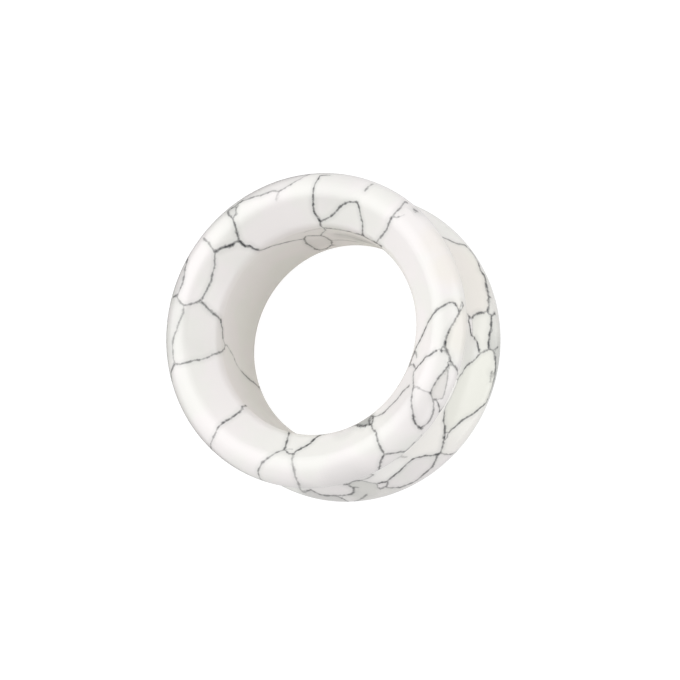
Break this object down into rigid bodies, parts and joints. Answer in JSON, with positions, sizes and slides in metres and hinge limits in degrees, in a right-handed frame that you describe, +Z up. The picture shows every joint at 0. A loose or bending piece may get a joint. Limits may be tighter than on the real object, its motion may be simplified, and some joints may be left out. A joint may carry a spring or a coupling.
{
  "type": "flesh tunnel",
  "caption": "Double-flared tunnel of polished white veined stone for a stretched earlobe, a short open ring with rounded rims, a hollowed waist and sloping mouths.",
  "frame": {"origin": "centre of the lower rim's plane, on the axis, where the tunnel stands", "axes": "+Z up along the hole, from the lower rim to the upper one; X and Y run across the ring, which is the same all round"},
  "size_m": [0.028, 0.028, 0.013],
  "materials": {
    "howlite": "polished to a high gloss"
  },
  "bodies": {
    "root": {"eyelet": "howlite"}
  },
  "joints": []
}
